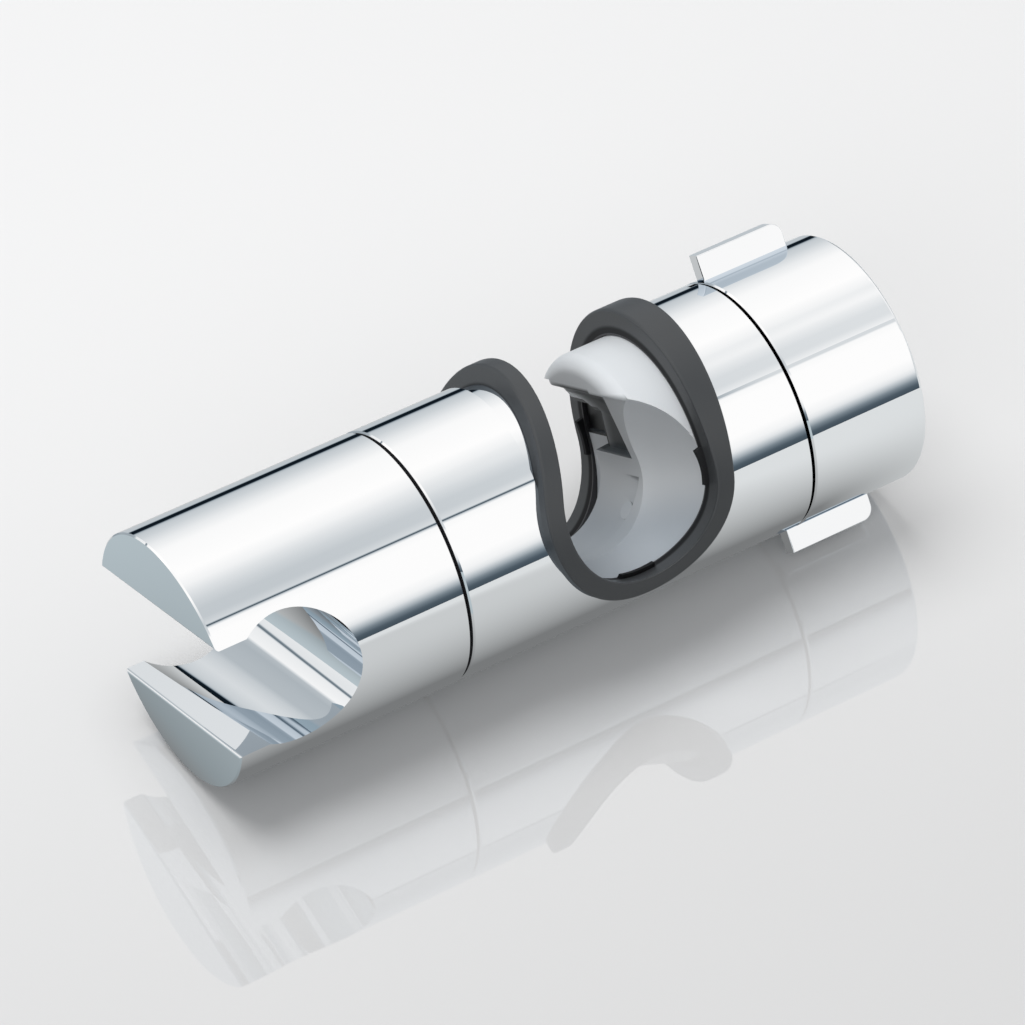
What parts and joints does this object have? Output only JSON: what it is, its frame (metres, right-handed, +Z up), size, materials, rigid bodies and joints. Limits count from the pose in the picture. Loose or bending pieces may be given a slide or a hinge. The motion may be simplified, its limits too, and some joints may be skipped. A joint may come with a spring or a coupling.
{
  "type": "shower head holder",
  "caption": "Chromed barrel-shaped slider holder: a forked conical seat at one end, a side-opening rail bore with a sliding jaw in the middle, and a winged clamping knob.",
  "frame": {"origin": "on the barrel's axis, at the centre of the rail that the jaw holds at rest", "axes": "+X along the barrel from the fork to the knob, +Z up as the holder lies on a table"},
  "size_m": [0.12, 0.044, 0.0432],
  "materials": {
    "chrome": "bright chrome plate on a moulded and metallised shell",
    "cap_chrome": "bright chrome plate",
    "rim": "soft dark grey elastomer, satin",
    "jaw_white": "milky white moulded plastic, satin",
    "brass": "turned brass",
    "steel": "stamped stainless steel",
    "black_plastic": "moulded black plastic"
  },
  "bodies": {
    "clamp": {"clamp_body": "chrome", "bore_rim": "rim", "rail_pad": "rim", "end_plate": "black_plastic", "plate_ring": "steel", "thrust_washer": "black_plastic"},
    "head": {"holder_head": "chrome", "head_insert": "brass", "head_pivot_screw": "steel", "head_flat_washer": "steel", "head_spring_washer": "steel", "head_friction_ring": "black_plastic"},
    "jaw": {"clamp_jaw": "jaw_white", "jaw_screw": "brass"},
    "knob": {"knob": "chrome", "drive_bush": "brass", "retaining_clip": "steel", "knob_washer": "steel", "knob_nut": "brass", "knob_end_cap": "cap_chrome"}
  },
  "joints": [
    {"name": "head_tilt", "type": "hinge", "parent": "clamp", "child": "head", "pos_m": [-0.0284, 0, 0], "axis": [1, 0, 0], "continuous": true},
    {"name": "knob_turn", "type": "hinge", "parent": "clamp", "child": "knob", "pos_m": [0.0322, 0, 0], "axis": [-1, 0, 0], "range_deg": [-900, 270]},
    {"name": "jaw_slide", "type": "slide", "parent": "clamp", "child": "jaw", "axis": [-1, 0, 0], "range_m": [-0.01, 0.003]}
  ],
  "couplings": [
    {"joint": "jaw_slide", "follows": "knob_turn", "m_per_rad": 0.00063662}
  ]
}
